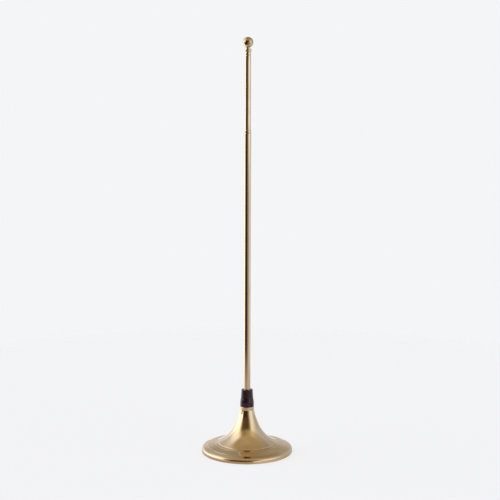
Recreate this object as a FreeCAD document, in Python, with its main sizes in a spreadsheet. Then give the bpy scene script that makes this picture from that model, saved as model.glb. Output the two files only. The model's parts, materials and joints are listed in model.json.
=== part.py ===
import FreeCAD, Part
import os
import re

import Sketcher

# A telescopic whip aerial for a radio or television set, on a weighted foot of spun brass.
# Z points up. The origin is the middle of the foot's underside, and +Y is the rear, where the
# lead-in wire enters. Lengths are in millimetres and angles in degrees.
#
# Everything that is round about the mast is a body turned from an outline. The outline's corners
# are (radius, height) pairs written in the words of the dimension sheet.

DIMENSIONS = {
    # spun foot shell, from the rim inwards and upwards
    "shell_wall": 0.9,
    "rim_radius": 48.0,
    "rim_foot": 0.3,
    "rim_roll": 0.6,
    "rim_height": 5.9,
    "rim_round": 2.8,
    "rim_lean": 72.0,
    "lip_radius": 46.0,
    "ledge_radius": 42.1,
    "ledge_height": 7.05,
    "step_radius": 41.6,
    "step_height": 7.35,
    "plateau_radius": 34.0,
    "plateau_height": 8.9,
    "terrace_radius": 33.5,
    "terrace_height": 9.2,
    "bell_seat_radius": 30.9,
    "bell_seat_height": 9.9,
    "bell_bead_radius": 30.7,
    "bell_bead_height": 10.6,
    # the bell is three arcs, each tangent to the next: flare, waist and neck
    "bell_radius": 30.287,
    "bell_height": 10.851,
    "bell_lean": 64.6,
    "flare_bend": 35.7,
    "flare_top_radius": 12.772,
    "flare_top_height": 29.072,
    "flare_top_lean": 23.14,
    "waist_bend": 125.0,
    "waist_top_radius": 9.125,
    "waist_top_height": 38.68,
    "waist_top_lean": 18.43,
    "neck_bend": 31.7,
    "neck_radius": 7.5,
    "neck_round_start": 48.7,
    "neck_height": 49.1,
    "neck_round": 0.4,
    "neck_hole_radius": 4.0,
    # what closes the foot
    "plate_underside": 0.9,
    "plate_thickness": 0.8,
    "plate_radius": 46.9,
    "pad_radius": 45.6,
    "ballast_gap": 0.3,
    "ballast_bore": 14.0,
    "ballast_rim_radius": 46.6,
    "ballast_shoulder_radius": 28.2,
    "ballast_core_radius": 20.6,
    "ballast_core_height": 15.5,
    "lead_channel_width": 7.2,
    "lead_channel_height": 3.5,
    "screw_circle": 30.0,
    "screw_count": 3,
    "screw_radius": 1.5,
    "screw_length": 5.1,
    "screw_head_radius": 3.0,
    "screw_head_height": 0.7,
    "screw_slot_width": 0.8,
    "screw_slot_depth": 0.35,
    "screw_gap": 0.03,
    "tap_allowance": 0.2,
    "pad_hole_radius": 3.5,
    # grommet of the lead-in wire
    "grommet_width": 4.0,
    "grommet_underside": 0.35,
    "grommet_top": 3.55,
    "grommet_face": 47.8,
    "grommet_flange_width": 6.0,
    "grommet_flange_front": 46.9,
    "grommet_flange_back": 45.3,
    "grommet_flange_underside": 0.95,
    "grommet_flange_top": 3.3,
    "grommet_play": 0.1,
    "cutter_overrun": 1.0,
    "lead_bore_radius": 0.9,
    "lead_bore_height": 2.1,
    # stack that clamps the mast to the neck
    "stud_radius": 2.5,
    "stud_foot": 35.0,
    "hole_gap": 0.05,
    "washer_gap": 0.15,
    "bush_flange_radius": 6.0,
    "bush_flange_thickness": 1.5,
    "washer_radius": 5.5,
    "washer_thickness": 1.0,
    "lug_radius": 4.5,
    "lug_thickness": 0.5,
    "lug_tail_width": 2.8,
    "lug_tail_reach": 6.0,
    "lug_tail_drop": 5.0,
    "spring_washer_radius": 4.6,
    "spring_washer_thickness": 1.1,
    "spring_washer_split": 0.9,
    "nut_flats": 8.0,
    "nut_height": 4.0,
    # moulded ferrule at the foot of the mast
    "ferrule_height": 18.2,
    "ferrule_foot_radius": 7.25,
    "ferrule_foot_round": 0.4,
    "ferrule_bead_radius": 7.1,
    "ferrule_bead_height": 6.6,
    "ferrule_waist_radius": 6.45,
    "ferrule_waist_height": 9.4,
    "ferrule_top_radius": 5.95,
    "ferrule_top_round": 0.8,
    "ferrule_floor": 2.9,
    # mast: nested tubes that get thinner upwards
    "mast_radius": 3.5,
    "mast_step": 0.45,
    "tube_wall": 0.3,
    "slide_gap": 0.03,
    "mouth_length": 3.0,
    "mouth_shoulder": 0.5,
    "mouth_swage": 0.12,
    "mouth_round": 0.18,
    "mast_foot": 52.0,
    "plug_height": 10.0,
    "tube_1_top": 339.6,
    "tube_2_top": 418.8,
    "tube_3_top": 418.2,
    "tube_4_top": 417.8,
    "runner_foot": 140.6,
    "runner_flange": 3.0,
    "runner_spigot": 5.0,
    "sleeve_length": 12.0,
    "sleeve_wall": 0.1,
    "sleeve_slit": 1.2,
    # solid rod and finial
    "rod_pin_radius": 0.9,
    "collar_radius": 3.55,
    "collar_height": 3.3,
    "collar_round": 0.4,
    "ball_radius": 5.5,
    "ball_centre": 428.3,
    "ball_socket_depth": 6.5,
}

doc = FreeCAD.newDocument("TelescopicAerial")
sheet = doc.addObject("Spreadsheet::Sheet", "Dims")
for row, (word, size) in enumerate(DIMENSIONS.items(), start=1):
    sheet.set(f"A{row}", word)
    sheet.set(f"B{row}", str(size))
    sheet.setAlias(f"B{row}", word)
doc.recompute()

parts = []


def size_of(text):
    """The value of an expression written in the sheet's words."""
    return float(sheet.evalExpression(text))


def bind(item, attribute, text):
    """Ties an attribute to an expression in the sheet's words. A name before a bracket is a function."""
    item.setExpression(attribute, re.sub(r"\b([a-z]\w*)\b(?!\()", r"Dims.\1", text))


def finished(item, label):
    """Gives a sub-part its name and adds it to those that are written."""
    item.Label = label
    parts.append(item)
    return item


# ---- bodies with sketches ----------------------------------------------------------------------


def origin_plane(body, role):
    return next(plane for plane in body.Origin.OriginFeatures if plane.Role == role)


def new_sketch(body, role, name):
    sketch = body.newObject("Sketcher::SketchObject", name)
    sketch.AttachmentSupport = [(origin_plane(body, role), "")]
    sketch.MapMode = "FlatFace"
    return sketch


def add_constraint(sketch, text, kind, *where):
    """A dimension that follows an expression."""
    index = sketch.addConstraint(Sketcher.Constraint(kind, *where, size_of(text)))
    bind(sketch, f"Constraints[{index}]", text)


def add_arc(sketch, start, end, bend, turn):
    """An arc from start to end that turns left or right, and which of its ends comes first."""
    radius = size_of(bend)
    chord = end - start
    middle = (start + end) / 2
    left = FreeCAD.Vector(-chord.y, chord.x, 0).normalize()
    if turn == "right":
        left = -left
    centre = middle + left * (radius ** 2 - (chord.Length / 2) ** 2) ** 0.5
    circle = Part.Circle(centre, FreeCAD.Vector(0, 0, 1), radius)
    first, last = (start, end) if turn == "left" else (end, start)
    arc = Part.ArcOfCircle(circle, circle.parameter(first), circle.parameter(last))
    index = sketch.addGeometry(arc, False)
    add_constraint(sketch, bend, "Radius", index)
    return (index, 1, 2) if turn == "left" else (index, 2, 1)


def draw_outline(sketch, corners):
    """A closed outline. A corner is (radius, height); with a bend radius and a turn, which is left or
    right, an arc leads from it to the next corner instead of a straight line."""
    points = [FreeCAD.Vector(size_of(corner[0]), size_of(corner[1]), 0) for corner in corners]
    edges = []
    for corner, start, end in zip(corners, points, points[1:] + points[:1]):
        if len(corner) == 4:
            edges.append(add_arc(sketch, start, end, corner[2], corner[3]))
        else:
            edges.append((sketch.addGeometry(Part.LineSegment(start, end), False), 1, 2))
    for edge, following in zip(edges, edges[1:] + edges[:1]):
        sketch.addConstraint(Sketcher.Constraint("Coincident", edge[0], edge[2], following[0], following[1]))
    for edge, corner in zip(edges, corners):
        for text, kind, axis in ((corner[0], "DistanceX", -2), (corner[1], "DistanceY", -1)):
            if text == "0":
                sketch.addConstraint(Sketcher.Constraint("PointOnObject", edge[0], edge[1], axis))
            else:
                add_constraint(sketch, text, kind, -1, 1, edge[0], edge[1])


def turned(label, corners, height="0"):
    """A body turned about Z from an outline, with its own zero at the given height."""
    body = doc.addObject("PartDesign::Body", label)
    sketch = new_sketch(body, "XZ_Plane", label + "_outline")
    draw_outline(sketch, corners)
    turn = body.newObject("PartDesign::Revolution", label + "_turning")
    turn.Profile = sketch
    turn.ReferenceAxis = (sketch, ["V_Axis"])
    turn.Angle = 360.0
    if height != "0":
        bind(body, "Placement.Base.z", height)
    return finished(body, label)


def draw_rectangle(sketch, left, right, low, high):
    """A rectangle whose sides are expressions measured from the sketch's origin."""
    xs = [size_of(left), size_of(right)]
    ys = [size_of(low), size_of(high)]
    loop = [(xs[0], ys[0]), (xs[1], ys[0]), (xs[1], ys[1]), (xs[0], ys[1])]
    points = [FreeCAD.Vector(x, y, 0) for x, y in loop]
    first = sketch.GeometryCount
    for start, end in zip(points, points[1:] + points[:1]):
        sketch.addGeometry(Part.LineSegment(start, end), False)
    for side in range(4):
        following = first + (side + 1) % 4
        sketch.addConstraint(Sketcher.Constraint("Coincident", first + side, 2, following, 1))
        direction = "Vertical" if side % 2 else "Horizontal"
        sketch.addConstraint(Sketcher.Constraint(direction, first + side))
    for text, corner in ((left, first), (right, first + 1)):
        add_constraint(sketch, text, "DistanceX", -1, 1, corner, 1)
    for text, corner in ((low, first), (high, first + 2)):
        add_constraint(sketch, text, "DistanceY", -1, 1, corner, 1)


def cut_slot(body, left, right, front, back, depth, name):
    """Cuts a slot up into the body from the plane z = 0, and checks that it took material away."""
    doc.recompute()
    before = body.Shape.Volume
    sketch = new_sketch(body, "XY_Plane", name + "_plan")
    draw_rectangle(sketch, left, right, front, back)
    pocket = body.newObject("PartDesign::Pocket", name)
    pocket.Profile = sketch
    pocket.Type = "Length"
    pocket.Reversed = True
    bind(pocket, "Length", depth)
    doc.recompute()
    if body.Shape.Volume >= before:
        raise ValueError(f"{name} cut nothing")


def drill_circle(body, radius, depth, name):
    """Drills a hole up into the body at each screw's place."""
    doc.recompute()
    before = body.Shape.Volume
    sketch = new_sketch(body, "XY_Plane", name + "_plan")
    place = FreeCAD.Vector(0, -size_of("screw_circle"), 0)
    circle = Part.Circle(place, FreeCAD.Vector(0, 0, 1), size_of(radius))
    index = sketch.addGeometry(circle, False)
    add_constraint(sketch, radius, "Radius", index)
    add_constraint(sketch, "screw_circle", "DistanceY", index, 3, -1, 1)
    sketch.addConstraint(Sketcher.Constraint("PointOnObject", index, 3, -2))
    pocket = body.newObject("PartDesign::Pocket", name)
    pocket.Profile = sketch
    pocket.Type = "Length"
    pocket.Reversed = True
    bind(pocket, "Length", depth)
    pattern = body.newObject("PartDesign::PolarPattern", name + "_pattern")
    pattern.Originals = [pocket]
    pattern.Axis = (sketch, ["N_Axis"])
    pattern.Angle = 360.0
    bind(pattern, "Occurrences", "screw_count")
    body.Tip = pattern
    doc.recompute()
    if body.Shape.Volume >= before:
        raise ValueError(f"{name} cut nothing")


# ---- primitives --------------------------------------------------------------------------------


def cylinder(name, radius, height, z="0", x="0", y="0"):
    item = doc.addObject("Part::Cylinder", name)
    bind(item, "Radius", radius)
    bind(item, "Height", height)
    for axis, text in (("x", x), ("y", y), ("z", z)):
        bind(item, f"Placement.Base.{axis}", text)
    return item


def block(name, left, right, front, back, low, high):
    """A box between six planes."""
    item = doc.addObject("Part::Box", name)
    spans = (("Length", "x", left, right), ("Width", "y", front, back), ("Height", "z", low, high))
    for side, axis, start, end in spans:
        bind(item, side, f"({end}) - ({start})")
        bind(item, f"Placement.Base.{axis}", start)
    return item


def cut(name, base, tool):
    item = doc.addObject("Part::Cut", name)
    item.Base = base
    item.Tool = tool
    return item


def fused(name, base, tool):
    item = doc.addObject("Part::Fuse", name)
    item.Base = base
    item.Tool = tool
    return item


def ring(name, outer, inner, height, z):
    """A flat ring, bored right through."""
    return cut(name, cylinder(name + "_disc", outer, height, z), cylinder(name + "_bore", inner, height, z))


# ---- foot --------------------------------------------------------------------------------------


def offset_corner(radius, height, lean):
    """The point one wall thickness inside a surface that leans this far from the vertical."""
    return f"{radius} - shell_wall * cos({lean})", f"{height} - shell_wall * sin({lean})"


# where the rim's round runs out into the disc
RIM_TOP = (
    "rim_radius - rim_round * (1 - cos(rim_lean))",
    "rim_height - rim_round * (1 - sin(rim_lean))",
)


def make_base_shell():
    flare_start = offset_corner("bell_radius", "bell_height", "bell_lean")
    flare_end = offset_corner("flare_top_radius", "flare_top_height", "flare_top_lean")
    waist_end = offset_corner("waist_top_radius", "waist_top_height", "waist_top_lean")
    outside = [
        ("rim_radius - rim_roll", "rim_foot", "rim_roll", "left"),
        ("rim_radius", "rim_foot + rim_roll"),
        ("rim_radius", "rim_height - rim_round", "rim_round", "left"),
        RIM_TOP,
        ("ledge_radius", "ledge_height"),
        ("step_radius", "step_height"),
        ("plateau_radius", "plateau_height"),
        ("terrace_radius", "terrace_height"),
        ("bell_seat_radius", "bell_seat_height"),
        ("bell_bead_radius", "bell_bead_height"),
        ("bell_radius", "bell_height", "flare_bend", "right"),
        ("flare_top_radius", "flare_top_height", "waist_bend", "right"),
        ("waist_top_radius", "waist_top_height", "neck_bend", "right"),
        ("neck_radius", "neck_round_start", "neck_round", "left"),
        ("neck_radius - neck_round", "neck_height"),
    ]
    inside = [
        ("neck_hole_radius", "neck_height"),
        ("neck_hole_radius", "neck_height - shell_wall"),
        ("neck_radius - shell_wall", "neck_height - shell_wall", "neck_bend + shell_wall", "left"),
        waist_end + ("waist_bend + shell_wall", "left"),
        flare_end + ("flare_bend + shell_wall", "left"),
        flare_start,
        ("bell_seat_radius - shell_wall", "bell_seat_height - shell_wall"),
        ("terrace_radius - shell_wall / 2", "terrace_height - shell_wall"),
        ("plateau_radius - shell_wall / 2", "plateau_height - shell_wall"),
        ("step_radius - shell_wall / 2", "step_height - shell_wall"),
        ("ledge_radius - shell_wall / 2", "ledge_height - shell_wall"),
        offset_corner(*RIM_TOP, "rim_lean") + ("rim_round - shell_wall", "right"),
        ("rim_radius - shell_wall", "rim_height - rim_round"),
        ("rim_radius - shell_wall", "plate_underside"),
        ("lip_radius", "plate_underside"),
        ("lip_radius", "rim_foot"),
    ]
    shell = turned("base_shell", outside + inside)
    cut_slot(
        shell, "-grommet_width / 2", "grommet_width / 2", "grommet_flange_back",
        "rim_radius + cutter_overrun", "grommet_top", "lead_slot",
    )


def make_ballast():
    """Cast iron ring that follows the shell from inside, with a channel for the lead-in wire."""
    top = "- shell_wall - ballast_gap - plate_underside - plate_thickness"
    ballast = turned(
        "ballast_weight",
        [
            ("ballast_bore", "0"),
            ("ballast_rim_radius", "0"),
            ("ballast_rim_radius", f"rim_height - rim_round {top} + shell_wall"),
            ("rim_radius - rim_round", f"rim_height {top}"),
            ("ledge_radius - shell_wall", f"ledge_height {top}"),
            ("step_radius - shell_wall", f"step_height {top}"),
            ("plateau_radius - shell_wall", f"plateau_height {top}"),
            ("terrace_radius - shell_wall", f"terrace_height {top}"),
            ("bell_seat_radius - shell_wall - ballast_gap", f"bell_seat_height {top}"),
            ("ballast_shoulder_radius", f"bell_seat_height {top} + shell_wall"),
            ("ballast_core_radius", "ballast_core_height - plate_underside - plate_thickness"),
            ("ballast_bore", "ballast_core_height - plate_underside - plate_thickness"),
        ],
        "plate_underside + plate_thickness",
    )
    cut_slot(
        ballast, "-lead_channel_width / 2", "lead_channel_width / 2",
        "ballast_bore - cutter_overrun", "rim_radius", "lead_channel_height", "lead_channel",
    )
    tapped_depth = "screw_length - plate_thickness + tap_allowance"
    drill_circle(ballast, "screw_radius + screw_gap", tapped_depth, "tapped_hole")


def make_bottom_plate():
    plate = turned(
        "bottom_plate",
        [
            ("0", "0"),
            ("plate_radius", "0"),
            ("plate_radius", "plate_thickness"),
            ("0", "plate_thickness"),
        ],
        "plate_underside",
    )
    cut_slot(
        plate, "-grommet_flange_width / 2 - grommet_play", "grommet_flange_width / 2 + grommet_play",
        "grommet_flange_back - grommet_play", "rim_radius", "plate_thickness", "lead_notch",
    )
    drill_circle(plate, "screw_radius + screw_gap", "plate_thickness", "plate_hole")


def make_base_pad():
    pad = turned(
        "base_pad",
        [("0", "0"), ("pad_radius", "0"), ("pad_radius", "plate_underside"), ("0", "plate_underside")],
    )
    drill_circle(pad, "pad_hole_radius", "plate_underside", "pad_hole")


def make_plate_screws():
    """Slotted screws, one to each hole, in one node."""
    screws = []
    for number in range(int(size_of("screw_count"))):
        name = f"screw_{number + 1}"
        angle = f"({number} * 360 / screw_count - 90)"
        x = f"screw_circle * cos({angle})"
        y = f"screw_circle * sin({angle})"
        head_low = "plate_underside - screw_head_height"
        head = cylinder(name + "_head", "screw_head_radius", "screw_head_height", head_low, x, y)
        shank = cylinder(name + "_shank", "screw_radius", "screw_length", "plate_underside", x, y)
        slot = block(
            name + "_slot",
            f"{x} - 2 * screw_head_radius", f"{x} + 2 * screw_head_radius",
            f"{y} - screw_slot_width / 2", f"{y} + screw_slot_width / 2",
            f"{head_low} - screw_slot_depth", f"{head_low} + screw_slot_depth",
        )
        screws.append(cut(name, fused(name + "_blank", head, shank), slot))
    group = doc.addObject("Part::Compound", "plate_screws")
    group.Links = screws
    finished(group, "plate_screws")


def make_lead_grommet():
    """Rubber grommet that fills the slot in the rear of the rim, with a flange behind it."""
    nose = block(
        "grommet_nose", "-grommet_width / 2", "grommet_width / 2", "grommet_flange_front",
        "grommet_face", "grommet_underside", "grommet_top",
    )
    flange = block(
        "grommet_flange", "-grommet_flange_width / 2", "grommet_flange_width / 2",
        "grommet_flange_back", "grommet_flange_front", "grommet_flange_underside", "grommet_flange_top",
    )
    reach = "grommet_face - grommet_flange_back"
    bore = cylinder("grommet_bore", "lead_bore_radius", reach, "lead_bore_height", "0", "grommet_face")
    bore.Placement.Rotation = FreeCAD.Rotation(FreeCAD.Vector(1, 0, 0), 90)
    finished(cut("lead_grommet", fused("grommet_blank", nose, flange), bore), "lead_grommet")


# ---- clamping stack, downwards from the neck ---------------------------------------------------

BUSH_UNDERSIDE = "neck_height - shell_wall - bush_flange_thickness"
WASHER_UNDERSIDE = BUSH_UNDERSIDE + " - washer_thickness"
LUG_UNDERSIDE = WASHER_UNDERSIDE + " - lug_thickness"
SPRING_UNDERSIDE = LUG_UNDERSIDE + " - spring_washer_thickness"
NUT_UNDERSIDE = SPRING_UNDERSIDE + " - nut_height"


def make_shoulder_bush():
    """Insulating bush whose spigot fills the hole in the neck."""
    turned(
        "shoulder_bush",
        [
            ("stud_radius + hole_gap", "0"),
            ("bush_flange_radius", "0"),
            ("bush_flange_radius", "bush_flange_thickness"),
            ("neck_hole_radius - hole_gap", "bush_flange_thickness"),
            ("neck_hole_radius - hole_gap", "bush_flange_thickness + shell_wall"),
            ("stud_radius + hole_gap", "bush_flange_thickness + shell_wall"),
        ],
        BUSH_UNDERSIDE,
    )


def make_flat_washer():
    washer = ring("washer", "washer_radius", "stud_radius + washer_gap", "washer_thickness", WASHER_UNDERSIDE)
    finished(washer, "flat_washer")


def make_solder_lug():
    """Ring terminal whose tail is bent down at the rear, where the lead-in wire is soldered."""
    plate = cylinder("lug_disc", "lug_radius", "lug_thickness", LUG_UNDERSIDE)
    arm = block(
        "lug_arm", "-lug_tail_width / 2", "lug_tail_width / 2", "0", "lug_tail_reach",
        LUG_UNDERSIDE, f"{LUG_UNDERSIDE} + lug_thickness",
    )
    tail = block(
        "lug_tail", "-lug_tail_width / 2", "lug_tail_width / 2", "lug_tail_reach - lug_thickness",
        "lug_tail_reach", f"{LUG_UNDERSIDE} - lug_tail_drop", LUG_UNDERSIDE,
    )
    blank = fused("lug_blank", fused("lug_flat", plate, arm), tail)
    bore = cylinder("lug_bore", "stud_radius + washer_gap", "lug_thickness", LUG_UNDERSIDE)
    finished(cut("solder_lug", blank, bore), "solder_lug")


def make_spring_washer():
    whole = ring(
        "lock_ring", "spring_washer_radius", "stud_radius + washer_gap", "spring_washer_thickness",
        SPRING_UNDERSIDE,
    )
    gap = block(
        "lock_ring_gap", "-spring_washer_split / 2", "spring_washer_split / 2", "0",
        "spring_washer_radius", SPRING_UNDERSIDE, LUG_UNDERSIDE,
    )
    finished(cut("spring_washer", whole, gap), "spring_washer")


def make_stud_nut():
    hexagon = doc.addObject("Part::Prism", "nut_blank")
    hexagon.Polygon = 6
    bind(hexagon, "Circumradius", "nut_flats / 2 / cos(30)")
    bind(hexagon, "Height", "nut_height")
    bind(hexagon, "Placement.Base.z", NUT_UNDERSIDE)
    thread = cylinder("nut_thread", "stud_radius", "nut_height", NUT_UNDERSIDE)
    finished(cut("stud_nut", hexagon, thread), "stud_nut")


def make_mast_plug():
    """Brass plug that closes the lowest tube, turned in one with the clamping stud."""
    turned(
        "mast_plug",
        [
            ("0", "0"),
            ("stud_radius", "0"),
            ("stud_radius", "mast_foot - stud_foot"),
            ("mast_radius - tube_wall", "mast_foot - stud_foot"),
            ("mast_radius - tube_wall", "mast_foot - stud_foot + plug_height"),
            ("0", "mast_foot - stud_foot + plug_height"),
        ],
        "stud_foot",
    )


def make_mast_ferrule():
    turned(
        "mast_ferrule",
        [
            ("stud_radius + hole_gap", "0"),
            ("ferrule_foot_radius - ferrule_foot_round", "0", "ferrule_foot_round", "left"),
            ("ferrule_foot_radius", "ferrule_foot_round"),
            ("ferrule_bead_radius", "ferrule_bead_height"),
            ("ferrule_waist_radius", "ferrule_waist_height"),
            ("ferrule_top_radius", "ferrule_height - ferrule_top_round", "ferrule_top_round", "left"),
            ("ferrule_top_radius - ferrule_top_round", "ferrule_height"),
            ("mast_radius + slide_gap", "ferrule_height"),
            ("mast_radius + slide_gap", "ferrule_floor"),
            ("stud_radius + hole_gap", "ferrule_floor"),
        ],
        "neck_height",
    )


# ---- telescopic sections -----------------------------------------------------------------------


def outer_radius(number):
    """Outside radius of tube 1 to 4, or of the solid rod, which comes fifth."""
    return f"mast_radius - {number - 1} * mast_step"


def runner_foot(number):
    """Where the runner of section 2 to 5 starts: each stands on the spigot of the one outside it."""
    return f"runner_foot + {number - 2} * (runner_flange + runner_spigot)"


def section_foot(number):
    return "mast_foot" if number == 1 else f"{runner_foot(number)} + runner_flange"


def make_tube(number, label):
    """A drawn tube whose mouth is swaged in to guide the next tube."""
    outer = outer_radius(number)
    inner = f"{outer} - tube_wall"
    nose = f"{outer} - mouth_swage"
    mouth = f"{outer_radius(number + 1)} + slide_gap"
    length = f"tube_{number}_top - ({section_foot(number)})"
    turned(
        label,
        [
            (inner, "0"),
            (outer, "0"),
            (outer, f"{length} - mouth_length - mouth_shoulder"),
            (nose, f"{length} - mouth_length"),
            (nose, f"{length} - mouth_round", "mouth_round", "left"),
            (f"{nose} - mouth_round", length),
            (mouth, length),
            (mouth, f"{length} - mouth_length"),
            (inner, f"{length} - mouth_length - mouth_shoulder"),
        ],
        section_foot(number),
    )


def make_runner(number, label):
    """The foot plug of a sliding tube: a flange that runs in the tube outside, and a spigot."""
    flange = f"{outer_radius(number - 1)} - tube_wall - slide_gap"
    spigot = f"{outer_radius(number)} - tube_wall"
    turned(
        label,
        [
            ("0", "0"),
            (flange, "0"),
            (flange, "runner_flange"),
            (spigot, "runner_flange"),
            (spigot, "runner_flange + runner_spigot"),
            ("0", "runner_flange + runner_spigot"),
        ],
        runner_foot(number),
    )


def make_contact_sleeve(number, label):
    """Slit sleeve of spring brass that makes the sliding contact and gives the friction."""
    outer = f"{outer_radius(number - 1)} - tube_wall - slide_gap"
    inner = f"{outer} - sleeve_wall"
    foot = section_foot(number)
    sleeve = ring(label + "_tube", outer, inner, "sleeve_length", foot)
    slit = block(
        label + "_slit", "-sleeve_slit / 2", "sleeve_slit / 2", "0", outer, foot, f"{foot} + sleeve_length"
    )
    finished(cut(label, sleeve, slit), label)


def make_tip_rod():
    """Solid rod with a pin at its foot that is riveted in its runner, and its top inside the ball."""
    rod = outer_radius(5)
    pin_foot = runner_foot(5)
    length = f"ball_centre - ball_radius + ball_socket_depth - ({pin_foot})"
    turned(
        "tip_rod",
        [
            ("0", "0"),
            ("rod_pin_radius", "0"),
            ("rod_pin_radius", "runner_flange"),
            (rod, "runner_flange"),
            (rod, length),
            ("0", length),
        ],
        pin_foot,
    )


def make_tip_runner():
    flange = f"{outer_radius(4)} - tube_wall - slide_gap"
    finished(ring("runner_5_ring", flange, "rod_pin_radius", "runner_flange", runner_foot(5)), "tip_runner")


def make_tip_collar():
    """Collar on the rod that comes to rest on the mouth of tube 2."""
    rod = outer_radius(5)
    turned(
        "tip_collar",
        [
            (rod, "0"),
            ("collar_radius - collar_round", "0", "collar_round", "left"),
            ("collar_radius", "collar_round"),
            ("collar_radius", "collar_height - collar_round", "collar_round", "left"),
            ("collar_radius - collar_round", "collar_height"),
            (rod, "collar_height"),
        ],
        "tube_2_top",
    )


def make_tip_ball():
    """Ball with a socket from below for the rod. Its zero is the lowest point of the whole sphere."""
    rod = outer_radius(5)
    turned(
        "tip_ball",
        [
            (rod, f"ball_radius - sqrt(ball_radius ^ 2 - ({rod}) ^ 2)", "ball_radius", "left"),
            ("0", "2 * ball_radius"),
            ("0", "ball_socket_depth"),
            (rod, "ball_socket_depth"),
        ],
        "ball_centre - ball_radius",
    )


def write_parts():
    doc.recompute()
    for item in doc.Objects:
        if "Invalid" in item.State or "Error" in item.State:
            raise ValueError(f"{item.Label} failed to compute")
    for part in parts:
        if part.Shape.isNull() or not part.Shape.isValid():
            raise ValueError(f"{part.Label} has no valid shape")
    os.makedirs("parts", exist_ok=True)
    for part in parts:
        part.Shape.exportStep(f"parts/{part.Label}.step")


make_base_shell()
make_ballast()
make_bottom_plate()
make_base_pad()
make_plate_screws()
make_lead_grommet()
make_shoulder_bush()
make_flat_washer()
make_solder_lug()
make_spring_washer()
make_stud_nut()
make_mast_plug()
make_mast_ferrule()
for number in (1, 2, 3, 4):
    make_tube(number, f"mast_tube_{number}")
for number in (2, 3, 4):
    make_runner(number, f"runner_{number}")
for number in (2, 3, 4, 5):
    make_contact_sleeve(number, f"contact_sleeve_{number}")
make_tip_rod()
make_tip_runner()
make_tip_collar()
make_tip_ball()
write_parts()
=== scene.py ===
"""The looks of a telescopic whip aerial on a spun brass foot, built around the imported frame.

A piece's outline and sizes are in millimetres, and its outer sizes come from the CAD node it stands
for. Everything else is in metres. Turned pieces have outlines of (radius, height) points.
"""

import json
import math
import random

import bmesh
import bpy
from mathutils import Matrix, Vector


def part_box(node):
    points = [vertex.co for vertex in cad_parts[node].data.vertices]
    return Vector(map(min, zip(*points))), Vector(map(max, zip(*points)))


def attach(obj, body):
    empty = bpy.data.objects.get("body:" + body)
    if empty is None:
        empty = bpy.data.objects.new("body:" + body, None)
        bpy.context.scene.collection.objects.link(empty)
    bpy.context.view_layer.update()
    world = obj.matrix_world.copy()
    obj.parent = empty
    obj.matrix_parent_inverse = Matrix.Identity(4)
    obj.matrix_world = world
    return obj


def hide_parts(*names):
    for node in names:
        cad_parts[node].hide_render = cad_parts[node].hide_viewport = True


MM = 0.001
# A round is cut into steps of ARC_STEP. A turn under SLIGHT_TURN isn't rounded, and one of SHARP_TURN gets
# its full mark: wear on an outer edge, tarnish and painted shade in an inner corner.
ARC_STEP = math.radians(9)
SLIGHT_TURN = math.radians(1)
SHARP_TURN = math.radians(90)
# how far the wear and the painted shade spread from a round along a straight, and how long the straight has
# to be for that
WEAR_AND_SHADE_REACH = 0.9
LONG_STRAIGHT = 3 * WEAR_AND_SHADE_REACH

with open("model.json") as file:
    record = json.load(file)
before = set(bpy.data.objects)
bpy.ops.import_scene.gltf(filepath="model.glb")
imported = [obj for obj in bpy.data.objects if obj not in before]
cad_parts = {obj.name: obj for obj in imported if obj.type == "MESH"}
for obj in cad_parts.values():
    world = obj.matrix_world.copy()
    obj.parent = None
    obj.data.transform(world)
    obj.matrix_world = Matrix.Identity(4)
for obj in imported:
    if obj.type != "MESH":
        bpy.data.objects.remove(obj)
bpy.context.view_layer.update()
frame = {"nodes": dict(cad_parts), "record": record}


# ---- the camera, the floor and the studio ------------------------------------------------------

CAMERA_DISTANCE = 1.25
CAMERA_HEIGHT = 0.3847
CAMERA_SIDESTEP = 0.0021
CAMERA_LENS = 87.4
CAMERA_PITCH = math.radians(7.71)
CAMERA_ROLL = math.radians(-0.18)

PALE = (0.905, 0.913, 0.930, 1.0)
TABLE_RADIUS = 0.70
TABLE_FADE = 0.12
TABLE_GLOW = 0.812
TABLE_ALBEDO = (0.30, 0.32, 0.35, 1.0)
# Distances from the mast: where the metal stops mirroring the table and mirrors the dark room instead,
# and between which it mirrors the ring of table close to the foot, with its painted shade, and that ring's
# soft edges.
MIRROR_FADE_START = 0.24
MIRROR_FADE_END = 0.56
BESIDE_START = 0.058
BESIDE_START_EDGE = 0.0015
BESIDE_END = 0.11
BESIDE_END_EDGE = 0.02

# The studio round the object, in rings of (azimuth, colour). Azimuth 0 is the front, and it grows to the
# right. The first two rings are what the metal mirrors of the table.
TABLE_MIRRORED = [
    (-180, (1.0, 1.0, 1.02)), (-112, (1.30, 1.30, 1.36)), (-94, (0.62, 0.60, 0.66)),
    (-60, (0.50, 0.44, 0.42)), (-28, (0.42, 0.34, 0.31)), (4, (0.44, 0.36, 0.32)),
    (20, (0.62, 0.56, 0.56)), (45, (0.56, 0.51, 0.54)), (66, (0.46, 0.42, 0.44)),
    (95, (0.50, 0.48, 0.53)), (122, (0.54, 0.53, 0.58)), (150, (0.70, 0.70, 0.74)),
]
# close to the foot, where the rim mirrors it: a stretch of painted shade on the table in front of the foot,
# between brighter stretches
TABLE_BESIDE_PAINTED_SHADE = [
    (-180, (0.80, 0.78, 0.80)), (-75, (0.90, 0.88, 0.90)), (-58, (1.15, 1.10, 1.12)),
    (-36, (1.00, 0.94, 0.90)), (-29, (0.40, 0.32, 0.24)), (-23, (0.06, 0.035, 0.010)),
    (3, (0.05, 0.03, 0.010)), (9, (0.14, 0.10, 0.06)), (12, (1.40, 1.35, 1.30)),
    (17, (1.40, 1.35, 1.32)), (24, (0.60, 0.56, 0.54)), (60, (0.50, 0.46, 0.46)),
    (110, (0.55, 0.53, 0.55)),
]
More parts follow.
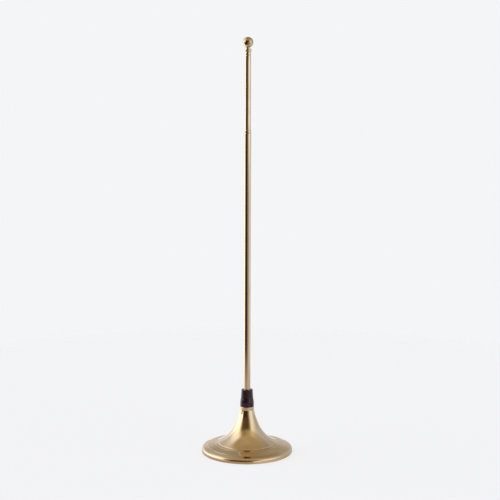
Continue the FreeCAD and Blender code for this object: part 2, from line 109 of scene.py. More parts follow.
# the room, from below the horizon to the ceiling
STUDIO_LOW = [
    (-180, (0.90, 0.90, 0.94)), (-150, (1.0, 1.0, 1.04)), (-118, (1.70, 1.70, 1.80)),
    (-95, (1.70, 1.68, 1.76)), (-87, (0.040, 0.028, 0.016)), (-14, (0.026, 0.016, 0.006)),
    (-4, (0.20, 0.17, 0.15)), (12, (0.28, 0.24, 0.22)), (36, (0.40, 0.37, 0.37)),
    (56, (0.62, 0.61, 0.66)), (76, (0.80, 0.80, 0.92)), (100, (0.70, 0.71, 0.86)),
    (140, (0.66, 0.67, 0.82)),
]
STUDIO_EYE = [
    (-180, (0.54, 0.51, 0.52)), (-150, (0.90, 0.88, 0.95)), (-118, (1.80, 1.74, 1.94)),
    (-98, (1.90, 1.84, 2.00)), (-91, (0.14, 0.11, 0.08)), (-64, (0.11, 0.08, 0.05)),
    (-52, (0.034, 0.018, 0.007)), (-12, (0.034, 0.017, 0.006)),
    (-5, (0.26, 0.22, 0.19)), (22, (0.42, 0.38, 0.38)), (34, (1.05, 1.06, 1.14)),
    (60, (1.16, 1.20, 1.34)), (74, (1.10, 1.14, 1.30)), (86, (0.58, 0.59, 0.68)),
    (136, (0.52, 0.53, 0.62)),
]
STUDIO_HORIZON = [
    (-180, (0.58, 0.55, 0.56)), (-150, (0.90, 0.88, 0.95)), (-125, (1.60, 1.60, 1.75)),
    (-98, (1.90, 1.90, 2.00)), (-64, (1.50, 1.48, 1.60)), (-55, (0.05, 0.03, 0.012)),
    (5, (0.045, 0.026, 0.010)), (13, (0.17, 0.12, 0.09)), (27, (0.42, 0.37, 0.36)),
    (39, (0.85, 0.85, 0.95)), (66, (0.98, 1.02, 1.08)), (84, (0.74, 0.76, 0.82)),
    (104, (0.45, 0.46, 0.52)), (140, (0.50, 0.50, 0.58)),
]
STUDIO_MIDDLE = [
    (-180, (0.33, 0.27, 0.21)), (-150, (0.55, 0.54, 0.62)), (-134, (0.62, 0.62, 0.74)),
    (-110, (1.20, 1.20, 1.35)), (-86, (1.50, 1.48, 1.60)), (-72, (1.20, 1.16, 1.18)),
    (-56, (0.40, 0.32, 0.25)), (-42, (0.11, 0.070, 0.038)), (11, (0.09, 0.055, 0.026)),
    (26, (0.24, 0.18, 0.12)), (38, (0.62, 0.57, 0.54)), (50, (1.02, 1.00, 1.02)),
    (64, (0.88, 0.85, 0.84)), (90, (0.60, 0.60, 0.60)), (120, (0.50, 0.53, 0.58)),
    (150, (0.46, 0.45, 0.50)),
]
STUDIO_UPPER = [
    (-180, (0.25, 0.19, 0.12)), (-150, (0.64, 0.62, 0.68)), (-130, (0.78, 0.77, 0.88)),
    (-105, (1.05, 1.04, 1.13)), (-82, (1.20, 1.17, 1.15)), (-64, (0.86, 0.80, 0.70)),
    (-48, (0.42, 0.36, 0.24)), (-26, (0.28, 0.22, 0.12)), (0, (0.38, 0.31, 0.18)),
    (20, (0.46, 0.37, 0.24)), (36, (0.58, 0.48, 0.34)), (53, (0.66, 0.57, 0.44)),
    (75, (0.55, 0.47, 0.36)), (100, (0.44, 0.40, 0.36)), (140, (0.36, 0.33, 0.33)),
]
STUDIO_CEILING = [
    (-180, (0.36, 0.28, 0.19)), (-90, (0.42, 0.34, 0.24)), (0, (0.46, 0.37, 0.24)), (90, (0.42, 0.34, 0.24)),
]
# each ring after the lowest, with the elevations between which it takes over
STUDIO_RINGS = [
    (STUDIO_EYE, -5, -2), (STUDIO_HORIZON, 2, 4), (STUDIO_MIDDLE, 12, 27), (STUDIO_UPPER, 30, 45),
    (STUDIO_CEILING, 48, 64),
]
# a ramp holds colours up to 1, so the rings are stored divided by this and lit this much stronger
RAMP_SCALE = 2.0


def add_node(tree, kind, **settings):
    node = tree.nodes.new(kind)
    for name, value in settings.items():
        setattr(node, name, value)
    return node


def feed(tree, socket, value):
    """Puts a number, a colour or another node's output into a socket."""
    if isinstance(value, bpy.types.NodeSocket):
        tree.links.new(value, socket)
    else:
        socket.default_value = value


def calc(tree, operation, *values):
    node = add_node(tree, "ShaderNodeMath", operation=operation)
    for socket, value in zip(node.inputs, values):
        feed(tree, socket, value)
    return node.outputs[0]


def fade(tree, value, start, end, low=0.0, high=1.0):
    """A smooth step from low to high as value goes from start to end."""
    node = add_node(tree, "ShaderNodeMapRange", interpolation_type="SMOOTHSTEP")
    names = ("Value", "From Min", "From Max", "To Min", "To Max")
    for name, number in zip(names, (value, start, end, low, high)):
        feed(tree, node.inputs[name], number)
    return node.outputs["Result"]


def blend_colours(tree, factor, first, second):
    node = add_node(tree, "ShaderNodeMix", data_type="RGBA")
    colours = [socket for socket in node.inputs if socket.type == "RGBA"]
    feed(tree, node.inputs["Factor"], factor)
    feed(tree, colours[0], first)
    feed(tree, colours[1], second)
    return next(socket for socket in node.outputs if socket.type == "RGBA")


def ramp(tree, factor, stops):
    node = add_node(tree, "ShaderNodeValToRGB")
    elements = node.color_ramp.elements
    while len(elements) < len(stops):
        elements.new(0.5)
    for element, (place, colour) in zip(elements, stops):
        element.position = place
        element.color = (*colour, 1.0)
    feed(tree, node.inputs["Fac"], factor)
    return node.outputs["Color"]


def object_place(tree):
    return add_node(tree, "ShaderNodeTexCoord").outputs["Object"]


def separate(tree, vector):
    node = add_node(tree, "ShaderNodeSeparateXYZ")
    feed(tree, node.inputs[0], vector)
    return node.outputs


def shine(tree, kind, colour, strength=1.0):
    """A background or an emission."""
    node = add_node(tree, kind)
    feed(tree, node.inputs["Color"], colour)
    feed(tree, node.inputs["Strength"], strength)
    return node.outputs[0]


def mix_shaders(tree, factor, first, second):
    node = add_node(tree, "ShaderNodeMixShader")
    for socket, value in zip(node.inputs, (factor, first, second)):
        feed(tree, socket, value)
    return node.outputs[0]


def camera_ray(tree):
    return add_node(tree, "ShaderNodeLightPath").outputs["Is Camera Ray"]


def azimuth_of(tree, x, y):
    """The azimuth of a direction or place, from 0 to 1 with the front at 0.5."""
    turn = calc(tree, "ARCTAN2", x, calc(tree, "MULTIPLY", y, -1.0))
    return calc(tree, "MULTIPLY_ADD", turn, 0.5 / math.pi, 0.5)


def studio_ring(tree, azimuth, stops):
    """One ring of the studio, as a ramp over azimuth that closes behind the object."""
    ordered = [((angle + 180) / 360, tuple(c / RAMP_SCALE for c in colour)) for angle, colour in stops]
    return ramp(tree, azimuth, ordered + [(1.0, ordered[0][1])])


def make_studio():
    """Soft panels to the left and right, a dark room behind the camera and a warm ceiling. The camera
    itself sees a plain pale background."""
    world = bpy.data.worlds.new("studio")
    bpy.context.scene.world = world
    world.use_nodes = True
    tree = world.node_tree
    tree.nodes.clear()
    x, y, z = separate(tree, add_node(tree, "ShaderNodeTexCoord").outputs["Generated"])
    azimuth = azimuth_of(tree, x, y)
    elevation = calc(tree, "DEGREES", calc(tree, "ARCSINE", z))
    room = studio_ring(tree, azimuth, STUDIO_LOW)
    for stops, start, end in STUDIO_RINGS:
        room = blend_colours(tree, fade(tree, elevation, start, end), room, studio_ring(tree, azimuth, stops))
    light = shine(tree, "ShaderNodeBackground", room, RAMP_SCALE)
    plain = shine(tree, "ShaderNodeBackground", PALE)
    out = add_node(tree, "ShaderNodeOutputWorld")
    feed(tree, out.inputs["Surface"], mix_shaders(tree, camera_ray(tree), light, plain))


def make_floor():
    """A round pale table. Part of its brightness is a steady glow, so that shadows on it stay faint, and
    it fades out at its edge into the plain background. The metal mirrors its own rings of it, with painted
    shade in front of the foot."""
    bpy.ops.mesh.primitive_circle_add(vertices=128, radius=TABLE_RADIUS, fill_type="NGON")
    floor = bpy.context.object
    floor.name = "floor"
    material = bpy.data.materials.new("pale_table")
    material.use_nodes = True
    tree = material.node_tree
    tree.nodes.clear()
    place = object_place(tree)
    x, y, _ = separate(tree, place)
    azimuth = azimuth_of(tree, x, y)
    length = add_node(tree, "ShaderNodeVectorMath", operation="LENGTH")
    feed(tree, length.inputs[0], place)
    distance = length.outputs["Value"]
    matte = add_node(tree, "ShaderNodeBsdfDiffuse")
    feed(tree, matte.inputs["Color"], TABLE_ALBEDO)
    table = add_node(tree, "ShaderNodeAddShader")
    feed(tree, table.inputs[0], matte.outputs[0])
    feed(tree, table.inputs[1], shine(tree, "ShaderNodeEmission", PALE, TABLE_GLOW))
    reached = fade(tree, distance, BESIDE_START, BESIDE_START + BESIDE_START_EDGE)
    left = fade(tree, distance, BESIDE_END, BESIDE_END + BESIDE_END_EDGE, 1.0, 0.0)
    beside = calc(tree, "MULTIPLY", reached, left)
    open_table = studio_ring(tree, azimuth, TABLE_MIRRORED)
    # painted shade: close to the foot the metal mirrors a dark stretch of table in front of it
    near = blend_colours(tree, beside, open_table, studio_ring(tree, azimuth, TABLE_BESIDE_PAINTED_SHADE))
    away = fade(tree, distance, MIRROR_FADE_START, MIRROR_FADE_END)
    colour = blend_colours(tree, away, near, studio_ring(tree, azimuth, STUDIO_LOW))
    mirrored = shine(tree, "ShaderNodeEmission", colour, RAMP_SCALE)
    seen = mix_shaders(tree, camera_ray(tree), mirrored, table.outputs[0])
    clear = add_node(tree, "ShaderNodeBsdfTransparent").outputs[0]
    edge = fade(tree, distance, TABLE_RADIUS - TABLE_FADE, TABLE_RADIUS)
    out = add_node(tree, "ShaderNodeOutputMaterial")
    feed(tree, out.inputs["Surface"], mix_shaders(tree, edge, seen, clear))
    floor.data.materials.append(material)


def make_camera():
    camera = bpy.data.objects.new("camera", bpy.data.cameras.new("camera"))
    bpy.context.scene.collection.objects.link(camera)
    camera.location = (CAMERA_SIDESTEP, -CAMERA_DISTANCE, CAMERA_HEIGHT)
    camera.rotation_euler = (math.pi / 2 - CAMERA_PITCH, CAMERA_ROLL, 0)
    camera.data.lens = CAMERA_LENS
    bpy.context.scene.camera = camera


make_camera()
make_studio()
make_floor()
bpy.context.scene.view_settings.view_transform = "Standard"


# ---- turned shapes -----------------------------------------------------------------------------


def rounded(corners, closed=True):
    """Outline points (radius, height, wear and shade) from corners (radius, height, round). The last value is
    above 0 on an outer edge, where polish shows, and below 0 in an inner corner, where the brass is darkened
    to the tarnish tint: tarnish and painted shade together. On a long straight it ends the reach set above
    from the round."""
    count = len(corners)
    points = []
    for index, (r, z, bend) in enumerate(corners):
        here = Vector((r, z))
        before = Vector(corners[index - 1][:2])
        after = Vector(corners[(index + 1) % count][:2])
        ends = not closed and index in (0, count - 1)
        arriving = (here - before).normalized()
        leaving = (after - here).normalized()
        turn = math.atan2(arriving.x * leaving.y - arriving.y * leaving.x, arriving.dot(leaving))
        if ends or bend == 0 or abs(turn) < SLIGHT_TURN:
            points.append((r, z, 0.0))
            continue
        reach = bend * math.tan(abs(turn) / 2)
        start = here - arriving * reach
        side = Vector((-arriving.y, arriving.x)) * math.copysign(1, turn)
        centre = start + side * bend
        spoke = start - centre
        steps = max(2, math.ceil(abs(turn) / ARC_STEP))
        if (here - before).length - reach > LONG_STRAIGHT:
            points.append((*(start - arriving * WEAR_AND_SHADE_REACH), 0.0))
        for step in range(steps + 1):
            cosine = math.cos(turn * step / steps)
            sine = math.sin(turn * step / steps)
            point = centre + Vector((spoke.x * cosine - spoke.y * sine, spoke.x * sine + spoke.y * cosine))
            points.append((point.x, point.y, turn / SHARP_TURN))
        if (after - here).length - reach > LONG_STRAIGHT:
            points.append((*(here + leaving * (reach + WEAR_AND_SHADE_REACH)), 0.0))
    return points


def lathe(name, outline, sides, lift=0.0):
    """A closed mesh from an outline that runs anticlockwise, seen with radius to the right and height up.
    A point at radius 0 becomes a pole. lift raises it, in millimetres."""
    mesh = bpy.data.meshes.new(name)
    vertices = []
    wear_and_shade_values = []
    rings = []
    for r, z, wear_and_shade in outline:
        count = 1 if r < 1e-6 else sides
        rings.append(range(len(vertices), len(vertices) + count))
        for side in range(count):
            angle = 2 * math.pi * side / sides
            vertices.append((r * MM * math.sin(angle), -r * MM * math.cos(angle), (z + lift) * MM))
            wear_and_shade_values.append(wear_and_shade)
    faces = []
    for low, high in zip(rings, rings[1:] + rings[:1]):
        for side in range(sides):
            following = (side + 1) % sides
            if len(low) == 1 and len(high) == 1:
                break
            if len(low) == 1:
                faces.append((low[0], high[following], high[side]))
            elif len(high) == 1:
                faces.append((low[side], low[following], high[0]))
            else:
                faces.append((low[side], low[following], high[following], high[side]))
    mesh.from_pydata(vertices, [], faces)
    # each point's wear and shade mark, which the brass turns into rubbed edges and into tarnish and painted
    # shade in corners
    mesh.attributes.new("wear_and_shade", "FLOAT", "POINT").data.foreach_set("value", wear_and_shade_values)
    mesh.shade_smooth()
    piece = bpy.data.objects.new(name, mesh)
    bpy.context.scene.collection.objects.link(piece)
    weighted = piece.modifiers.new("normals", "WEIGHTED_NORMAL")
    weighted.weight = 100
    return piece


def stands_for(piece, node, material):
    """Puts a detailed piece in a CAD node's place, on the same body."""
    piece.data.materials.clear()
    piece.data.materials.append(material)
    body = next(name for name, nodes in frame["record"]["behaviour"]["bodies"].items() if node in nodes)
    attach(piece, body)
    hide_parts(node)


def in_mm(node):
    """Lowest height, highest height and outer radius of a CAD node, in millimetres."""
    low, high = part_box(node)
    return low.z / MM, high.z / MM, high.x / MM


# ---- materials ---------------------------------------------------------------------------------


def new_material(name, colour, roughness, metallic=0.0):
    material = bpy.data.materials.new(name)
    material.use_nodes = True
    shader = material.node_tree.nodes["Principled BSDF"]
    feed(material.node_tree, shader.inputs["Base Color"], (*colour, 1.0))
    shader.inputs["Roughness"].default_value = roughness
    shader.inputs["Metallic"].default_value = metallic
    return material, material.node_tree, shader


def noise(tree, vector, scale, detail=3.0, rough=0.5):
    node = add_node(tree, "ShaderNodeTexNoise")
    feed(tree, node.inputs["Vector"], vector)
    node.inputs["Scale"].default_value = scale
    node.inputs["Detail"].default_value = detail
    node.inputs["Roughness"].default_value = rough
    return node.outputs["Fac"]


def round_the_mast(tree, along_radius, along_height, along_turn):
    """Coordinates that run with the turning: radius and height in stretches of their own, and the turn as
    a point on a circle so that it has no seam."""
    place = object_place(tree)
    x, y, z = separate(tree, place)
    radius = calc(tree, "SQRT", calc(tree, "ADD", calc(tree, "MULTIPLY", x, x), calc(tree, "MULTIPLY", y, y)))
    divisor = calc(tree, "MAXIMUM", radius, 1e-5)
    across = calc(tree, "MULTIPLY", calc(tree, "DIVIDE", x, divisor), along_turn)
    deep = calc(tree, "MULTIPLY", calc(tree, "DIVIDE", y, divisor), along_turn)
    profile = calc(tree, "MULTIPLY_ADD", z, along_height, calc(tree, "MULTIPLY", radius, along_radius))
    joined = add_node(tree, "ShaderNodeCombineXYZ")
    for socket, value in zip(joined.inputs, (across, deep, profile)):
        feed(tree, socket, value)
    return place, joined.outputs[0]


def bump(tree, height, strength, distance):
    node = add_node(tree, "ShaderNodeBump")
    feed(tree, node.inputs["Height"], height)
    node.inputs["Strength"].default_value = strength
    node.inputs["Distance"].default_value = distance
    return node.outputs["Normal"]


def tinted(colour, tint):
    """A colour multiplied by a tint, with its alpha."""
    return tuple(min(c * k, 1.0) for c, k in zip(colour, tint)) + (1.0,)


# what brass's colour is multiplied by where it is tarnished (also used for the painted shade in inner
# corners), handled and rubbed bright
TARNISH_AND_SHADE = (0.52, 0.40, 0.26)
HANDLED = (0.93, 0.84, 0.70)
RUBBED = (1.06, 1.06, 1.06)


def brass(name, colour, roughness, marks, spotted=0.2):
    """Polished brass under old lacquer. marks is (per radius, per height, per turn): how fast the fine tool
    marks change in each direction. spotted is how strong the small dark spots are."""
    material, tree, shader = new_material(name, colour, roughness, 1.0)
    place, turned = round_the_mast(tree, *marks)
    smudge = noise(tree, place, 70.0, 4.0, 0.6)
    speckle = noise(tree, place, 900.0, 2.0, 0.5)
    lines = noise(tree, turned, 1.0, 4.0, 0.65)
    wear_and_shade = add_node(tree, "ShaderNodeAttribute", attribute_name="wear_and_shade").outputs["Fac"]
    # deep is the inner corners, where the colour turns to the tarnish tint as tarnish and painted shade; high
    # is the outer edges, rubbed bright
    deep = calc(tree, "MAXIMUM", calc(tree, "MULTIPLY", wear_and_shade, -1.0), 0.0)
    high = calc(tree, "MAXIMUM", wear_and_shade, 0.0)
    dark = tinted(colour, TARNISH_AND_SHADE)
    base = blend_colours(
        tree, fade(tree, smudge, 0.42, 0.72, 0.0, 0.55), (*colour, 1.0), tinted(colour, HANDLED))
    spots = calc(tree, "MULTIPLY", fade(tree, speckle, 0.66, 0.76), spotted)
    base = blend_colours(tree, spots, base, dark)
    # painted shade with tarnish: inner corners darkened towards the tarnish tint
    base = blend_colours(tree, calc(tree, "MINIMUM", calc(tree, "MULTIPLY", deep, 1.25), 1.0), base, dark)
    base = blend_colours(tree, calc(tree, "MULTIPLY", high, 0.25), base, tinted(colour, RUBBED))
    feed(tree, shader.inputs["Base Color"], base)
    haze = fade(tree, smudge, 0.38, 0.75, roughness * 0.85, roughness * 1.7)
    rough = calc(tree, "MULTIPLY_ADD", deep, 0.22, calc(tree, "MULTIPLY_ADD", spots, 0.3, haze))
    feed(tree, shader.inputs["Roughness"], rough)
    feed(tree, shader.inputs["Normal"], bump(tree, lines, 0.07, 0.00012))
    shader.inputs["Anisotropic"].default_value = 0.35
    shader.inputs["Coat Weight"].default_value = 0.25
    shader.inputs["Coat Roughness"].default_value = 0.07
    return material


def dark_plastic():
    """Moulded ferrule: glossy brown-black with faint flow lines along the mast and a handled, duller skin."""
    material, tree, shader = new_material("ferrule_plastic", (0.030, 0.012, 0.012), 0.24)
    place, turned = round_the_mast(tree, 300.0, 60.0, 5.0)
    flow = noise(tree, turned, 1.0, 4.0, 0.6)
    grain = noise(tree, place, 1500.0, 3.0, 0.6)
    smudge = noise(tree, place, 160.0, 3.0, 0.6)
    base = blend_colours(tree, flow, (0.017, 0.004, 0.009, 1.0), (0.056, 0.014, 0.028, 1.0))
    feed(tree, shader.inputs["Base Color"], base)
    feed(tree, shader.inputs["Roughness"], fade(tree, smudge, 0.35, 0.7, 0.14, 0.26))
    feed(tree, shader.inputs["Normal"], bump(tree, grain, 0.06, 0.0001))
    shader.inputs["Specular IOR Level"].default_value = 0.42
    shader.inputs["Coat Weight"].default_value = 0.2
    shader.inputs["Coat Roughness"].default_value = 0.12
    return material


def felt():
    """Pressed felt: short tangled fibres, paler where they stand up."""
    material, tree, shader = new_material("felt", (0.020, 0.035, 0.024), 0.95)
    place = object_place(tree)
    tangle = noise(tree, place, 1400.0, 6.0, 0.7)
    patches = noise(tree, place, 130.0, 3.0, 0.5)
    fibres = calc(tree, "MULTIPLY_ADD", patches, 0.35, calc(tree, "MULTIPLY", tangle, 0.65))
    base = ramp(tree, fibres, [
        (0.30, (0.008, 0.016, 0.010)), (0.55, (0.024, 0.044, 0.030)), (0.75, (0.07, 0.10, 0.075)),
    ])
    feed(tree, shader.inputs["Base Color"], base)
    feed(tree, shader.inputs["Normal"], bump(tree, tangle, 0.6, 0.0004))
    shader.inputs["Sheen Weight"].default_value = 0.5
    shader.inputs["Sheen Roughness"].default_value = 0.6
    return material


def rubber():
    """Moulded rubber with a pale bloom."""
    material, tree, shader = new_material("grommet_rubber", (0.018, 0.018, 0.018), 0.6)
    place = object_place(tree)
    bloom = noise(tree, place, 500.0, 4.0, 0.6)
    base = blend_colours(tree, bloom, (0.012, 0.012, 0.012, 1.0), (0.045, 0.043, 0.040, 1.0))
    feed(tree, shader.inputs["Base Color"], base)
    feed(tree, shader.inputs["Roughness"], fade(tree, bloom, 0.3, 0.7, 0.5, 0.8))
    feed(tree, shader.inputs["Normal"], bump(tree, noise(tree, place, 3000.0, 2.0), 0.2, 0.0001))
    return material


def plated_steel():
    """Zinc plate with a brushed grain and dull blooms."""
    material, tree, shader = new_material("plated_steel", (0.60, 0.61, 0.60), 0.32, 1.0)
    place = object_place(tree)
    bloom = noise(tree, place, 420.0, 4.0, 0.6)
    base = blend_colours(tree, bloom, (0.48, 0.49, 0.50, 1.0), (0.70, 0.69, 0.64, 1.0))
    feed(tree, shader.inputs["Base Color"], base)
    feed(tree, shader.inputs["Roughness"], fade(tree, bloom, 0.3, 0.7, 0.24, 0.48))
    feed(tree, shader.inputs["Normal"], bump(tree, noise(tree, place, 2600.0, 3.0), 0.15, 0.0001))
    return material


def rough_casting():
    """Sand-cast iron, rusty in patches."""
    material, tree, shader = new_material("cast_iron", (0.12, 0.12, 0.125), 0.75, 0.6)
    place = object_place(tree)
    sand = noise(tree, place, 700.0, 5.0, 0.7)
    rust = noise(tree, place, 110.0, 3.0, 0.6)
    rusty = fade(tree, rust, 0.5, 0.75, 0.0, 0.7)
    base = blend_colours(tree, rusty, (0.11, 0.11, 0.115, 1.0), (0.20, 0.09, 0.045, 1.0))
    feed(tree, shader.inputs["Base Color"], base)
    feed(tree, shader.inputs["Normal"], bump(tree, sand, 0.7, 0.0005))
    return material


def black_enamel():
    """Black paint with a faint orange peel."""
    material, tree, shader = new_material("black_enamel", (0.02, 0.02, 0.02), 0.42)
    place = object_place(tree)
    peel = noise(tree, place, 520.0, 3.0, 0.5)
    base = blend_colours(tree, peel, (0.014, 0.014, 0.014, 1.0), (0.032, 0.031, 0.030, 1.0))
    feed(tree, shader.inputs["Base Color"], base)
    feed(tree, shader.inputs["Roughness"], fade(tree, peel, 0.3, 0.7, 0.34, 0.52))
    feed(tree, shader.inputs["Normal"], bump(tree, peel, 0.2, 0.0002))
    return material


def red_fibre():
    """Vulcanised fibre, pressed in thin layers."""
    material, tree, shader = new_material("red_fibre", (0.33, 0.08, 0.05), 0.6)
    place, turned = round_the_mast(tree, 300.0, 6000.0, 3.0)
    layers = noise(tree, turned, 1.0, 3.0, 0.6)
    base = blend_colours(tree, layers, (0.24, 0.05, 0.03, 1.0), (0.44, 0.13, 0.08, 1.0))
    feed(tree, shader.inputs["Base Color"], base)
    feed(tree, shader.inputs["Roughness"], fade(tree, noise(tree, place, 800.0), 0.3, 0.7, 0.5, 0.72))
    return material


SPUN_COLOUR = (0.86, 0.69, 0.42)
DRAWN_COLOUR = (0.87, 0.71, 0.47)
# the finial's brass is darker than the rest: painted shade on the small ball
SHADED_FINIAL_COLOUR = (0.70, 0.56, 0.33)
TURNED_COLOUR = (0.80, 0.63, 0.38)
TINNED_COLOUR = (0.72, 0.70, 0.64)
# tool marks per radius, per height and per turn: rings where a piece was spun or turned, lines where drawn
SPUN_MARKS = (2600.0, 2600.0, 1.2)
DRAWN_MARKS = (0.0, 5.0, 60.0)
TURNED_MARKS = (4000.0, 4000.0, 1.0)
FINISHES = {
    "spun_brass": brass("spun_brass", SPUN_COLOUR, 0.075, SPUN_MARKS),
    "mast_brass": brass("mast_brass", DRAWN_COLOUR, 0.085, DRAWN_MARKS, 0.0),
    "finial_brass": brass("finial_brass", SHADED_FINIAL_COLOUR, 0.10, SPUN_MARKS),
    "turned_brass": brass("turned_brass", TURNED_COLOUR, 0.26, TURNED_MARKS),
    "tinned_brass": brass("tinned_brass", TINNED_COLOUR, 0.34, DRAWN_MARKS),
    "ferrule": dark_plastic(),
    "felt": felt(),
    "rubber": rubber(),
    "plated_steel": plated_steel(),
    "cast_iron": rough_casting(),
    "steel_plate": black_enamel(),
    "fibre": red_fibre(),
}


# ---- the foot ----------------------------------------------------------------------------------

# the sheet, the width of the lip that is rolled in under the rim, and the sides of the turned mesh
SHELL_WALL = 0.9
SHELL_LIP = 2.0
SHELL_SIDES = 256
# the hole in the neck's top, the neck itself, and the height at which it leaves the bell
NECK_HOLE = 4.0
NECK_RADIUS = 7.5
NECK_CREASE = 45.65
# each arc of the bell is cut into steps of about this many degrees, and into no fewer than six
BELL_STEP = 2.5
BELL_LEAST_STEPS = 6
BELL_ARCS = [
    # centre radius, centre height, bend, lean at the bottom and lean at the top, in degrees
    (45.6, 43.1, 35.7, 64.6, 23.14),
    (127.717, 78.19, 125.0, 23.14, 18.43),
    (39.2, 48.7, 31.7, 18.43, 11.0),
]
# the cut for the lead's grommet: its width, its depth through the rim, and how far it starts underneath
LEAD_SLOT_WIDTH = 4.0
LEAD_SLOT_DEPTH = 6.0
LEAD_SLOT_BELOW = 2.0
# the holes in the pad, round the heads of the screws
SCREWS = 3
SCREW_CIRCLE = 30.0
SCREW_HOLE = 3.5
SCREW_HOLE_SIDES = 48
PAD_SIDES = 240
PAD_EDGE = 0.22
# how far the pad's edge stays inside the CAD disc, and how much it waves and frays
PAD_SLACK = 0.12
PAD_WAVE = 0.07
PAD_WAVES = 7
PAD_FRAY = 0.05
HOLE_FRAY = 0.04


def bell(offset):
    """The three tangent arcs of the bell, from the bottom up, moved inwards by offset."""
    points = []
    for centre_r, centre_z, bend, low, high in BELL_ARCS:
        steps = max(BELL_LEAST_STEPS, math.ceil(abs(low - high) / BELL_STEP))
        for step in range(steps):
            lean = math.radians(low + (high - low) * step / steps)
            reach = bend + offset
            points.append((centre_r - reach * math.cos(lean), centre_z - reach * math.sin(lean), 0.0))
    return points


def make_base_shell():
    bottom, top, rim = in_mm("base_shell")
    lip = rim - SHELL_LIP
    neck = NECK_RADIUS
    outside = [
        (lip, bottom, 0.12), (rim, bottom, 0.55), (rim, 5.137, 3.2), (42.1, 6.97, 0.35), (41.74, 7.36, 1.0),
        (34.1, 8.78, 0.5), (33.7, 9.04, 1.0), (30.95, 10.07, 0.3), (30.66, 10.5, 0.6),
    ]
    inside = [
        (30.0, 9.05, 0.2), (33.05, 8.3, 0.2), (33.55, 8.0, 0.2), (41.15, 6.45, 0.3), (41.65, 6.15, 0.3),
        (rim - SHELL_WALL, 4.51, 1.9), (rim - SHELL_WALL, SHELL_WALL, 0.1), (lip, SHELL_WALL, 0.1),
    ]
    crown = [
        (neck, NECK_CREASE, 0.5), (neck, top, 0.4), (NECK_HOLE, top, 0.1), (NECK_HOLE, top - SHELL_WALL, 0.1),
        (neck - SHELL_WALL, top - SHELL_WALL, 0.1), (neck - SHELL_WALL, NECK_CREASE, 0.5),
    ]
    outer_bell = bell(0)
    inner_bell = bell(SHELL_WALL)
    profile = rounded(outside + [outer_bell[0]], closed=False)[:-1]
    profile += outer_bell
    profile += rounded([outer_bell[-1]] + crown + [inner_bell[-1]], closed=False)[1:-1]
    profile += reversed(inner_bell)
    profile += rounded([inner_bell[0]] + inside + [(lip, bottom, 0)], closed=False)[1:-1]
    shell = lathe("foot_shell", profile, SHELL_SIDES)
    cut_lead_slot(shell)
    stands_for(shell, "base_shell", FINISHES["spun_brass"])


def cut_lead_slot(shell):
    """Cuts the slot for the grommet through the rear of the rim."""
    _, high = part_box("lead_grommet")
    below = LEAD_SLOT_BELOW * MM
    bpy.ops.mesh.primitive_cube_add(size=1)
    cutter = bpy.context.object
    cutter.scale = (LEAD_SLOT_WIDTH * MM, LEAD_SLOT_DEPTH * MM, high.z + below)
    cutter.location = (0, high.y, (high.z - below) / 2)
    boolean = shell.modifiers.new("slot", "BOOLEAN")
    boolean.object = cutter
    boolean.operation = "DIFFERENCE"
    boolean.solver = "EXACT"
    # the cut comes first, so that the normals are weighted on what is left
    shell.modifiers.move(1, 0)
    apply_modifier(shell, "slot")
    bpy.data.objects.remove(cutter)


def apply_modifier(piece, name):
    bpy.ops.object.select_all(action="DESELECT")
    piece.select_set(True)
    bpy.context.view_layer.objects.active = piece
    bpy.ops.object.modifier_apply(modifier=name)


def make_pad():
    """Felt disc: its edge is soft and a little uneven, and it has a hole round each screw."""
    bottom, top, radius = in_mm("base_pad")
    rng = random.Random(7)
    mesh = bmesh.new()
    outer = []
    for side in range(PAD_SIDES):
        angle = 2 * math.pi * side / PAD_SIDES
        wave = PAD_WAVE * math.sin(PAD_WAVES * angle)
        reach = radius - PAD_SLACK + wave + rng.uniform(-PAD_FRAY, PAD_FRAY)
        outer.append((reach * math.sin(angle), -reach * math.cos(angle)))
    loops = [outer]
    for screw in range(SCREWS):
        turn = 2 * math.pi * screw / SCREWS
        hole = []
        for side in range(SCREW_HOLE_SIDES):
            angle = 2 * math.pi * side / SCREW_HOLE_SIDES
            across = (SCREW_HOLE + rng.uniform(-HOLE_FRAY, HOLE_FRAY)) * math.cos(angle)
            along = (SCREW_HOLE + rng.uniform(-HOLE_FRAY, HOLE_FRAY)) * math.sin(angle)
            hole.append((SCREW_CIRCLE * math.sin(turn) + across, -SCREW_CIRCLE * math.cos(turn) + along))
        loops.append(hole)
    edges = []
    for loop in loops:
        ring = [mesh.verts.new((x * MM, y * MM, bottom * MM)) for x, y in loop]
        edges += [mesh.edges.new((a, b)) for a, b in zip(ring, ring[1:] + ring[:1])]
    bmesh.ops.triangle_fill(mesh, use_beauty=True, edges=edges)
    bmesh.ops.recalc_face_normals(mesh, faces=mesh.faces)
    if mesh.faces[0].normal.z > 0:
        bmesh.ops.reverse_faces(mesh, faces=mesh.faces)
    data = bpy.data.meshes.new("felt_pad")
    mesh.to_mesh(data)
    mesh.free()
    pad = bpy.data.objects.new("felt_pad", data)
    bpy.context.scene.collection.objects.link(pad)
    solid = pad.modifiers.new("thickness", "SOLIDIFY")
    solid.thickness = (top - bottom) * MM
    solid.offset = -1
    apply_modifier(pad, "thickness")
    bevel = pad.modifiers.new("edge", "BEVEL")
    bevel.width = PAD_EDGE * MM
    bevel.segments = 3
    bevel.angle_limit = math.radians(50)
    apply_modifier(pad, "edge")
    stands_for(pad, "base_pad", FINISHES["felt"])


make_base_shell()
make_pad()


# ---- the mast ----------------------------------------------------------------------------------

SIDES = 96
# the ferrule's bore for the stud, and the socket above it, where the tube stands on a seat
FERRULE_BORE = 2.55
FERRULE_SOCKET = 3.53
FERRULE_SEAT = 2.9
# a tube's wall, its thicker wall at the rolled-in mouth, and the length of that mouth
TUBE_WALL = 0.3
MOUTH_WALL = 0.42
MOUTH_LENGTH = 3.0
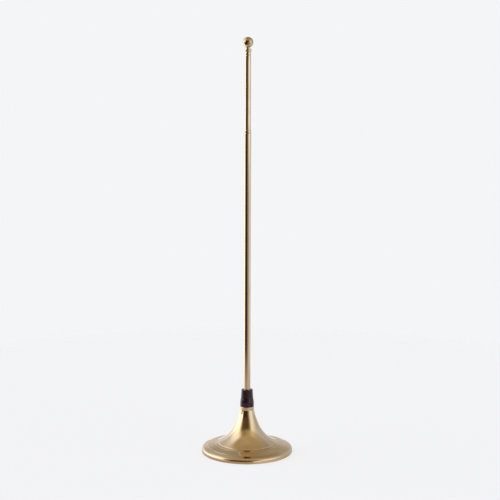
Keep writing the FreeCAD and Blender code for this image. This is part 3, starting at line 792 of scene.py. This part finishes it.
# the solid rod, with a thinner shank at its foot for the runner
ROD_RADIUS = 1.7
SHANK_RADIUS = 0.9
SHANK_LENGTH = 3.0
# the ball's lip round the rod, where the sphere starts above it, and how far past its centre the rod reaches
LIP_RADIUS = 1.95
LIP_TURN = math.radians(4)
BALL_SEAT = 1.0
BALL_SIDES = 128
BALL_STEPS = 56


def make_ferrule():
    bottom, top, radius = in_mm("mast_ferrule")
    height = top - bottom
    outline = rounded([
        (FERRULE_BORE, 0.0, 0.1), (radius, 0.0, 0.4), (radius - 0.02, 4.6, 3.0), (radius - 0.3, 6.9, 1.5),
        (radius - 0.8, 9.4, 3.0), (radius - 1.3, height, 0.75), (FERRULE_SOCKET, height, 0.12),
        (FERRULE_SOCKET, FERRULE_SEAT, 0.1), (FERRULE_BORE, FERRULE_SEAT, 0.1),
    ])
    ferrule = lathe("ferrule", outline, SIDES, lift=bottom)
    stands_for(ferrule, "mast_ferrule", FINISHES["ferrule"])


def make_tube(number):
    """A drawn tube with its mouth rolled in: a shallow groove, then a rounded nose."""
    node = f"mast_tube_{number}"
    bottom, top, radius = in_mm(node)
    length = top - bottom
    inner = radius - TUBE_WALL
    mouth = radius - MOUTH_WALL
    roll = length - MOUTH_LENGTH
    outline = rounded([
        (inner, 0.0, 0.05), (radius, 0.0, 0.08), (radius, roll - 0.55, 0.5),
        (radius - 0.14, roll - 0.15, 0.3), (radius - 0.02, roll + 0.35, 0.4),
        (radius - 0.04, length - 0.5, 0.5), (radius - 0.16, length, 0.16),
        (mouth, length, 0.08), (mouth, roll + 0.1, 0.1), (inner, roll - 0.4, 0.1),
    ])
    tube = lathe(f"tube_{number}", outline, SIDES, lift=bottom)
    stands_for(tube, node, FINISHES["mast_brass"])


def make_rod():
    bottom, top, _ = in_mm("tip_rod")
    length = top - bottom
    outline = rounded([
        (0.0, 0.0, 0), (SHANK_RADIUS, 0.0, 0.1), (SHANK_RADIUS, SHANK_LENGTH, 0.05),
        (ROD_RADIUS, SHANK_LENGTH, 0.15), (ROD_RADIUS, length, 0.15), (0.0, length, 0),
    ])
    rod = lathe("rod", outline, SIDES, lift=bottom)
    stands_for(rod, "tip_rod", FINISHES["mast_brass"])


def make_collar():
    bottom, top, radius = in_mm("tip_collar")
    height = top - bottom
    outline = rounded([
        (ROD_RADIUS, 0.0, 0.05), (radius - 0.05, 0.0, 0.35), (radius, height * 0.42, 0.3),
        (radius - 0.22, height * 0.5, 0.12), (radius, height * 0.58, 0.3), (radius - 0.1, height, 0.5),
        (ROD_RADIUS, height, 0.05),
    ])
    collar = lathe("collar", outline, SIDES, lift=bottom)
    stands_for(collar, "tip_collar", FINISHES["mast_brass"])


def make_ball():
    """The finial: a sphere with a small turned lip where it meets the rod."""
    bottom, top, radius = in_mm("tip_ball")
    centre = top - radius
    foot = bottom - centre
    points = [(ROD_RADIUS, foot, 0.0), (LIP_RADIUS, foot, 0.5)]
    start = math.asin(foot / radius) + LIP_TURN
    for step in range(BALL_STEPS):
        angle = start + (math.pi / 2 - start) * step / BALL_STEPS
        points.append((radius * math.cos(angle), radius * math.sin(angle), 0.0))
    points += [(0.0, radius, 0.0), (0.0, BALL_SEAT, 0.0), (ROD_RADIUS, BALL_SEAT, 0.0)]
    ball = lathe("ball", points, BALL_SIDES, lift=centre)
    stands_for(ball, "tip_ball", FINISHES["finial_brass"])


make_ferrule()
for number in (1, 2, 3, 4):
    make_tube(number)
make_rod()
make_collar()
make_ball()


# ---- CAD pieces that stay as they are ----------------------------------------------------------

slots = {part["node"]: part["material_slot"] for part in frame["record"]["subparts"]}
for node, piece in frame["nodes"].items():
    if not piece.hide_render:
        piece.data.materials.clear()
        piece.data.materials.append(FINISHES[slots[node]])
